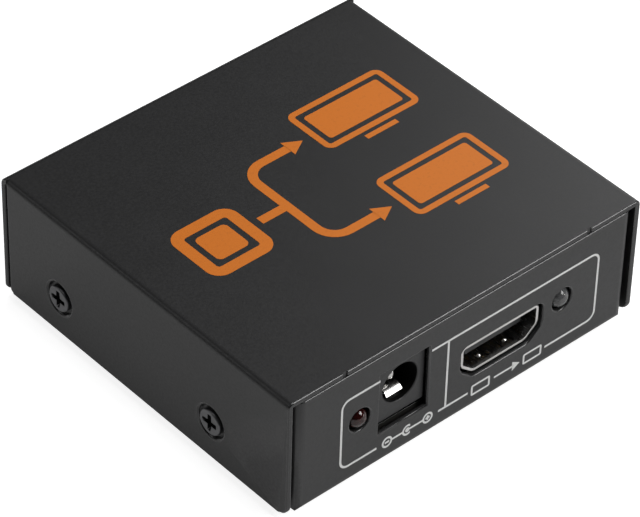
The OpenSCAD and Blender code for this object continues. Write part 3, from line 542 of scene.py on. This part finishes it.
def lead_frame(name, lamp):
    """The two leads inside a lens: a post with a dish on the left, a plain post on the right."""
    tip, inward = lamp_axis(lamp)
    axis = Matrix.Translation(tip) @ Matrix.Scale(MM, 4) @ Matrix.Rotation(-inward * math.pi / 2, 4, "X")
    bm = bmesh.new()
    dish = (
        (0, DISH_FLOOR), (DISH_FLOOR_R, DISH_FLOOR), (DISH_LIP_R, DISH_LIP),
        (DISH_R, DISH_LIP), (DISH_R, DISH_BACK), (0, DISH_BACK),
    )
    verts = [bm.verts.new((r, 0, DISH_DEPTH + z)) for r, z in dish]
    edges = [bm.edges.new(pair) for pair in zip(verts, verts[1:])]
    bmesh.ops.spin(
        bm, geom=verts + edges, cent=(0, 0, 0), axis=(0, 0, 1), angle=2 * math.pi, steps=24, use_merge=True,
    )
    bmesh.ops.remove_doubles(bm, verts=bm.verts, dist=WELD / MM)
    for x in (-LEAD_X, LEAD_X):
        post = bmesh.ops.create_cube(bm, size=1)["verts"]
        start = DISH_DEPTH + DISH_BACK if x < 0 else DISH_DEPTH
        bmesh.ops.scale(bm, vec=(LEAD_W, LEAD_W, LEAD_END - start), verts=post)
        bmesh.ops.translate(bm, vec=(x, 0, (start + LEAD_END) / 2), verts=post)
        bmesh.ops.bevel(
            bm, geom=list(post[0].link_faces[0].edges), offset=LEAD_EDGE, offset_type="OFFSET",
            affect="EDGES", segments=2, profile=0.5, material=-1,
        )
    bmesh.ops.transform(bm, matrix=axis, verts=bm.verts)
    bmesh.ops.recalc_face_normals(bm, faces=bm.faces)
    mesh = bpy.data.meshes.new(name)
    bm.to_mesh(mesh)
    bm.free()
    mesh.shade_smooth()
    mesh.set_sharp_from_angle(angle=SMOOTH_ANGLE)
    piece = finished(name, mesh, tinned)


def domed(lens, lamp):
    """Draws a lens's low end out to a full round dome that stands a little further out."""
    tip, inward = lamp_axis(lamp)
    for v in lens.data.vertices:
        if (v.co.y - tip.y) * inward < DOME_ZONE:
            off_axis = math.hypot(v.co.x - tip.x, v.co.z - tip.z)
            v.co.y = tip.y + inward * (DOME_R - math.sqrt(DOME_R ** 2 - off_axis ** 2) - DOME_OUT)


for lamp in ("power_lamp", "input_lamp", "output_lamp_1", "output_lamp_2"):
    epoxy_cast = red_lens if lamp == "power_lamp" else clear_lens
    domed(rounded_copy(lamp, lamp + "_lens", LENS_EDGE, epoxy_cast), lamp)
    lead_frame(lamp + "_lead_frame", lamp)
rounded_copy("lamp_leads", "lamp_wires", WIRE_EDGE, tinned)

# Chips
# Moulded epoxy bodies with tinned gull-wing leads, soldered to the board: the splitter chip, a small
# memory, two regulators, the protection diode, and surge arrays behind each socket.
SPLITTER_EDGE = 0.03 * MM
MEMORY_EDGE = 0.04 * MM
REGULATOR_EDGE = 0.05 * MM
DIODE_EDGE = 0.06 * MM
ARRAY_EDGE = 0.05 * MM
SPLITTER_BODY = (0, -2, 5, 5)
MEMORY_BODY = (12.5, -3, 1.95, 2.45)
REGULATOR_BODIES = ((-21, -2.5, 1.75, 3.25), (-21, 6, 1.75, 3.25))
DIODE_BODY = (-20.5, -12, 1.3, 2.15)
BODY_SKIN = 0.02
epoxy = moulded("chip_epoxy", (0.022, 0.022, 0.024), 0.6, 0.02 * MM)


def leads_outside(piece, *bodies):
    """Gives faces outside the chip bodies the tinned finish.

    A body is its middle x and y and its half sizes, in millimetres.
    """
    piece.data.materials.append(tinned)
    for face in piece.data.polygons:
        face.material_index = 1
        for x, y, half_x, half_y in bodies:
            off_x, off_y = abs(face.center.x / MM - x), abs(face.center.y / MM - y)
            if off_x < half_x + BODY_SKIN and off_y < half_y + BODY_SKIN:
                face.material_index = 0


leads_outside(rounded_copy("splitter_chip", "splitter_chip_body", SPLITTER_EDGE, epoxy), SPLITTER_BODY)
leads_outside(rounded_copy("memory_chip", "memory_chip_body", MEMORY_EDGE, epoxy), MEMORY_BODY)
leads_outside(rounded_copy("regulators", "regulator_bodies", REGULATOR_EDGE, epoxy), *REGULATOR_BODIES)
leads_outside(rounded_copy("protection_diode", "diode_body", DIODE_EDGE, epoxy), DIODE_BODY)
rounded_copy("surge_arrays", "surge_array_bodies", ARRAY_EDGE, epoxy)

# Crystal and supply capacitor
# A drawn and welded steel can, and a crimped aluminium can on a plastic foot, both soldered to the board
# beside the splitter chip.
CRYSTAL_EDGE = 0.2 * MM
CAN_EDGE = 0.15 * MM
aluminium = plated("can_aluminium", (0.78, 0.79, 0.80), 0.4)
rounded_copy("crystal", "crystal_can", CRYSTAL_EDGE, zinc, segments=3)
rounded_copy("supply_capacitor", "capacitor_can", CAN_EDGE, aluminium, segments=3)

# Chip capacitors and resistors
# Tiny fired ceramic blocks in rows beside the splitter chip, with tinned ends by which they are
# soldered flat on the board.
CAPACITOR_EDGE = 0.06 * MM
RESISTOR_EDGE = 0.05 * MM
brown_ceramic = moulded("capacitor_ceramic", (0.36, 0.24, 0.13), 0.5, 0.01 * MM)
black_ceramic = moulded("resistor_glaze", (0.02, 0.02, 0.022), 0.35, 0.01 * MM)


def tinned_ends(piece):
    """Gives the faces at both ends along Y the tinned finish."""
    piece.data.materials.append(tinned)
    for face in piece.data.polygons:
        if abs(face.normal.y) > 0.6:
            face.material_index = 1


tinned_ends(rounded_copy("chip_capacitors", "capacitor_blocks", CAPACITOR_EDGE, brown_ceramic))
tinned_ends(rounded_copy("chip_resistors", "resistor_blocks", RESISTOR_EDGE, black_ceramic))

# Top cover
# Top, side plates and rear plate folded down from one steel sheet and powder-coated as the tray is;
# the seats of the side screws are dished into its sides.
rounded_copy("top_cover", "cover_sheet", COAT_EDGE, coat, 3, coat_bead)

# Top print
# Orange silk-screen on the cover, a thin film over the powder coat: a plain diagram of one source that
# branches to two screens.
SOURCE_X = (-24, -12.5)
SOURCE_Y = (-5.75, 5.75)
SOURCE_R = 2.4
SOURCE_LINE = 1.9
CORE_X = (-21.1, -15.4)
CORE_Y = (-2.85, 2.85)
CORE_R = 0.9
STEM_X = -11.3
FORK_X = -7
FORK_R = 4
FORK_END = 2.2
BRANCH_LINE = 1.5
BRANCH_Y = 9.5
BRANCH_ARROW_R = 1.9
BRANCH_ARROW_X = 3.1
SCREEN_X = (6.5, 24.5)
SCREEN_H = 11.5
SCREEN_R = 1.4
SCREEN_LINE = 1
SCREEN_FOOT = 1.6
PICTURE_IN = 1.9
PICTURE_R = 0.5
STAND_X = (12.5, 18.5)
STAND_H = 0.9
orange_ink = ink("orange_ink", (0.65, 0.17, 0.006))
on_top = Matrix.Translation((0, 0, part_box("top_cover")[1][2]))

bm = bmesh.new()
outline(bm, round_box(bm, *SOURCE_X, *SOURCE_Y, SOURCE_R), SOURCE_LINE)
round_box(bm, *CORE_X, *CORE_Y, CORE_R)
printed("source_print", bm, orange_ink, on_top)

bm = bmesh.new()
half_line = BRANCH_LINE / 2
# The fork is the left end of a rounded loop.
loop_end = SCREEN_X[1]
outline(bm, round_box(bm, FORK_X, loop_end, -BRANCH_Y - half_line, BRANCH_Y + half_line, FORK_R), BRANCH_LINE)
cut_away(bm, FORK_END, loop_end, -2 * BRANCH_Y, 2 * BRANCH_Y)
flat_box(bm, STEM_X, FORK_X, -half_line, half_line)
for y in (-BRANCH_Y, BRANCH_Y):
    disc(bm, BRANCH_ARROW_X, y, BRANCH_ARROW_R, sides=3)
printed("branch_print", bm, orange_ink, on_top)

bm = bmesh.new()
for y in (-BRANCH_Y, BRANCH_Y):
    low, high = y - SCREEN_H / 2, y + SCREEN_H / 2
    frame_low = low + SCREEN_FOOT
    outline(bm, round_box(bm, *SCREEN_X, frame_low, high, SCREEN_R), SCREEN_LINE)
    picture_x = (SCREEN_X[0] + PICTURE_IN, SCREEN_X[1] - PICTURE_IN)
    round_box(bm, *picture_x, frame_low + PICTURE_IN, high - PICTURE_IN, PICTURE_R)
    flat_box(bm, *STAND_X, low, low + STAND_H)
printed("screens_print", bm, orange_ink, on_top)

# Rear print
# White silk-screen on the rear plate, in the ink of the front: a frame for each output, with its plain
# number in the lower edge.
REAR_X = (-28.6, 28.6)
OUTPUT_X = 12.5
NUMBER_H = 2.6
NUMBER_BREAK = 4
on_rear = Matrix.Translation((0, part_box("top_cover")[1][1], 0)) @ Matrix.Rotation(math.pi, 4, "Z")
on_rear = on_rear @ Matrix.Rotation(math.pi / 2, 4, "X")


def number(bm, figure, x, y):
    """Draws one figure centred on a place."""
    words = bpy.data.curves.new("figure", "FONT")
    words.body = figure
    words.size = NUMBER_H
    words.align_x = "CENTER"
    words.align_y = "CENTER"
    holder = bpy.data.objects.new("figure", words)
    drawn = bpy.data.meshes.new_from_object(holder)
    before = set(bm.verts)
    bm.from_mesh(drawn)
    bmesh.ops.translate(bm, vec=(x, y, 0), verts=[v for v in bm.verts if v not in before])
    bpy.data.objects.remove(holder)
    bpy.data.curves.remove(words)
    bpy.data.meshes.remove(drawn)


bm = bmesh.new()
outline(bm, round_box(bm, *REAR_X, *FRAME_Z, FRAME_R), LINE_W)
for x in (-OUTPUT_X, OUTPUT_X):
    cut_away(bm, x - NUMBER_BREAK / 2, x + NUMBER_BREAK / 2, FRAME_Z[0], middle_z)
flat_box(bm, -LINE_W / 2, LINE_W / 2, FRAME_Z[0] + LINE_W, FRAME_Z[1] - LINE_W)
number(bm, "1", OUTPUT_X, sign_z)
number(bm, "2", -OUTPUT_X, sign_z)
printed("rear_frame_print", bm, white_ink, on_rear)

# Cover screws
# Four blackened flat-head screws with a cross recess, in the dished seats of the side plates;
# they hold the cover to the tray's upright tabs.
HEAD_EDGE = 0.06 * MM
HEAD_R = 2.1 * MM
RECESS_R = 1.45 * MM
RECESS_START = 0.08 * MM
RECESS_END = 1.2 * MM
black_oxide = plated("black_oxide", (0.17, 0.17, 0.175), 0.42)
screws = rounded_copy("cover_screws", "side_screws", HEAD_EDGE, black_oxide)
# The faces inside the cross recess get a near-black, rougher finish: painted shade for the dark inside of the
# recess.
screws.data.materials.append(plated("recess_painted_shade", (0.01, 0.01, 0.01), 0.6))
low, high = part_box("cover_screws")
for face in screws.data.polygons:
    x, y, z = face.center
    off_y = min(abs(y - low[1] - HEAD_R), abs(y - high[1] + HEAD_R))
    off_z = z - (low[2] + high[2]) / 2
    if math.hypot(off_y, off_z) < RECESS_R and RECESS_START < high[0] - abs(x) < RECESS_END:
        face.material_index = 1

# Floor
# A plain white studio floor that reaches past every view, a hair below the feet. A little light of its
# own keeps its shadow faint.
FLOOR_SIZE = 4
FLOOR_DROP = 0.02 * MM
SEEN_GLOW = 0.86
GLOSS_GLOW = 0.2
bm = bmesh.new()
below = Matrix.Translation((0, 0, -FLOOR_DROP))
bmesh.ops.create_grid(bm, x_segments=1, y_segments=1, size=FLOOR_SIZE, matrix=below)
mesh = bpy.data.meshes.new("floor")
bm.to_mesh(mesh)
bm.free()
floor = bpy.data.objects.new("floor", mesh)
bpy.context.scene.collection.objects.link(floor)
floor_white, tree, shader, coords = new_material("floor_white")
shader.inputs["Base Color"].default_value = (0.62, 0.62, 0.62, 1)
shader.inputs["Roughness"].default_value = 0.9
shader.inputs["Specular IOR Level"].default_value = 0
rays = tree.nodes.new("ShaderNodeLightPath")
shader.inputs["Emission Color"].default_value = (1, 1, 1, 1)
glow = tree.nodes.new("ShaderNodeMath")
glow.operation = "MULTIPLY_ADD"
glow.inputs[1].default_value = GLOSS_GLOW
tree.links.new(rays.outputs["Is Glossy Ray"], glow.inputs[0])
seen = tree.nodes.new("ShaderNodeMath")
seen.operation = "MAXIMUM"
tree.links.new(rays.outputs["Is Camera Ray"], seen.inputs[0])
tree.links.new(rays.outputs["Is Transmission Ray"], seen.inputs[1])
tree.links.new(spread(tree, seen.outputs["Value"], 0, SEEN_GLOW, 0, 1), glow.inputs[2])
tree.links.new(glow.outputs["Value"], shader.inputs["Emission Strength"])
mesh.materials.append(floor_white)

# Lights
# A large soft box overhead, one at the front right that draws the bright edges, and a faint one at the
# rear left along the fold. Two small ones at the right shade across the top and glint in the lamps.


def soft_box(name, place, side, power):
    """A soft square light turned towards the object; only its light is seen."""
    light = bpy.data.lights.new(name, "AREA")
    light.shape = "SQUARE"
    light.size = side
    light.energy = power
    box = bpy.data.objects.new(name, light)
    box.location = place
    box.rotation_euler = Vector(place).to_track_quat("Z", "Y").to_euler()
    box.visible_camera = False
    bpy.context.scene.collection.objects.link(box)


soft_box("front_right_box", (0.51, -0.66, 0.56), 0.38, 4.5)
soft_box("overhead_box", (0.1, -0.1, 1.0), 0.6, 5.2)
soft_box("right_box", (0.30, 0.10, 0.22), 0.2, 0.33)
soft_box("lens_glint_box", (0.45, -0.42, 0.05), 0.06, 0.12)
soft_box("rear_left_box", (-0.61, 0.50, 0.46), 0.3, 0.4)
world = bpy.data.worlds.new("studio")
world.use_nodes = True
world.node_tree.nodes["Background"].inputs["Color"].default_value = (0.02, 0.02, 0.02, 1)
bpy.context.scene.world = world
bpy.context.scene.view_settings.view_transform = "Standard"
